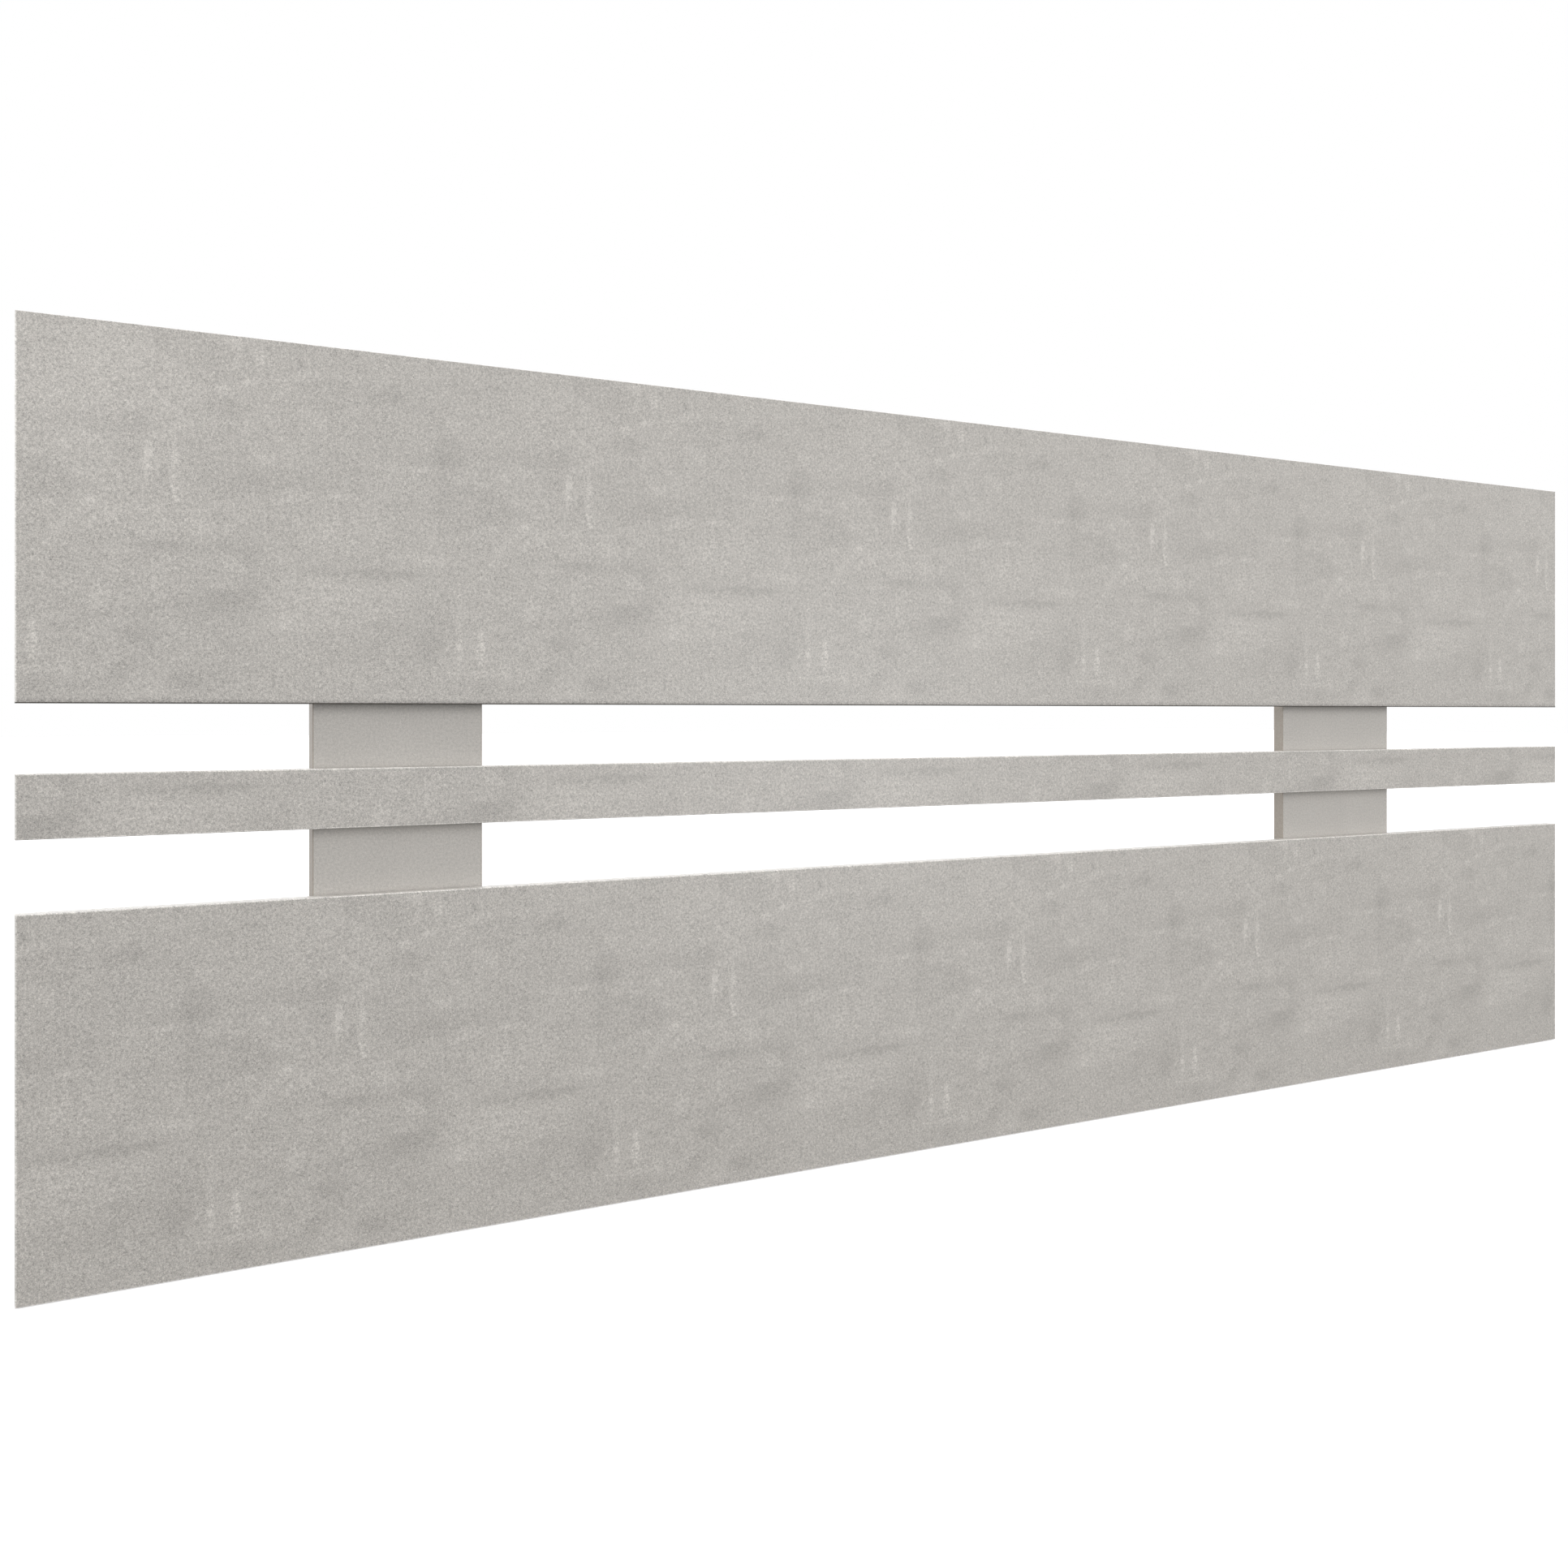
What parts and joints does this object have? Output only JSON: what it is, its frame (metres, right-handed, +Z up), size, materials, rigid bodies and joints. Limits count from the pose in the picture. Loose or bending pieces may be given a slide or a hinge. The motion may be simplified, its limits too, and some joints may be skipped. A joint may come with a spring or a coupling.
{
  "type": "headboard",
  "caption": "Wall-hung headboard of wide concrete-look boards with a slim strip between them, screwed and dowelled to upright battens with keyhole hanger plates.",
  "frame": {"origin": "middle of the bottom edge, halfway through the depth", "axes": "+X along the boards to the right as seen from the front, +Y from the front towards the wall, +Z up"},
  "size_m": [2, 0.03, 0.8],
  "materials": {
    "concrete_decor": "matte",
    "batten_decor": "matte",
    "board_edge": "matte",
    "batten_edge": "matte",
    "chipboard": "matte",
    "zinc_steel": "satin",
    "beech": "matte"
  },
  "bodies": {
    "root": {"top_board_core": "chipboard", "top_board_front_sheet": "concrete_decor", "top_board_back_sheet": "concrete_decor", "top_board_top_band": "board_edge", "top_board_bottom_band": "board_edge", "top_board_left_band": "board_edge", "top_board_right_band": "board_edge", "middle_strip_core": "chipboard", "middle_strip_front_sheet": "concrete_decor", "middle_strip_back_sheet": "concrete_decor", "middle_strip_top_band": "board_edge", "middle_strip_bottom_band": "board_edge", "middle_strip_left_band": "board_edge", "middle_strip_right_band": "board_edge", "bottom_board_core": "chipboard", "bottom_board_front_sheet": "concrete_decor", "bottom_board_back_sheet": "concrete_decor", "bottom_board_top_band": "board_edge", "bottom_board_bottom_band": "board_edge", "bottom_board_left_band": "board_edge", "bottom_board_right_band": "board_edge", "left_batten_core": "chipboard", "left_batten_front_sheet": "batten_decor", "left_batten_back_sheet": "batten_decor", "left_batten_top_band": "batten_edge", "left_batten_bottom_band": "batten_edge", "left_batten_left_band": "batten_edge", "left_batten_right_band": "batten_edge", "right_batten_core": "chipboard", "right_batten_front_sheet": "batten_decor", "right_batten_back_sheet": "batten_decor", "right_batten_top_band": "batten_edge", "right_batten_bottom_band": "batten_edge", "right_batten_left_band": "batten_edge", "right_batten_right_band": "batten_edge", "left_batten_top_board_screws": "zinc_steel", "left_batten_middle_strip_screws": "zinc_steel", "left_batten_bottom_board_screws": "zinc_steel", "right_batten_top_board_screws": "zinc_steel", "right_batten_middle_strip_screws": "zinc_steel", "right_batten_bottom_board_screws": "zinc_steel", "left_batten_top_board_dowels": "beech", "left_batten_bottom_board_dowels": "beech", "right_batten_top_board_dowels": "beech", "right_batten_bottom_board_dowels": "beech", "left_batten_upper_hanger": "zinc_steel", "left_batten_lower_hanger": "zinc_steel", "right_batten_upper_hanger": "zinc_steel", "right_batten_lower_hanger": "zinc_steel", "left_batten_hanger_screws": "zinc_steel", "right_batten_hanger_screws": "zinc_steel"}
  },
  "joints": []
}
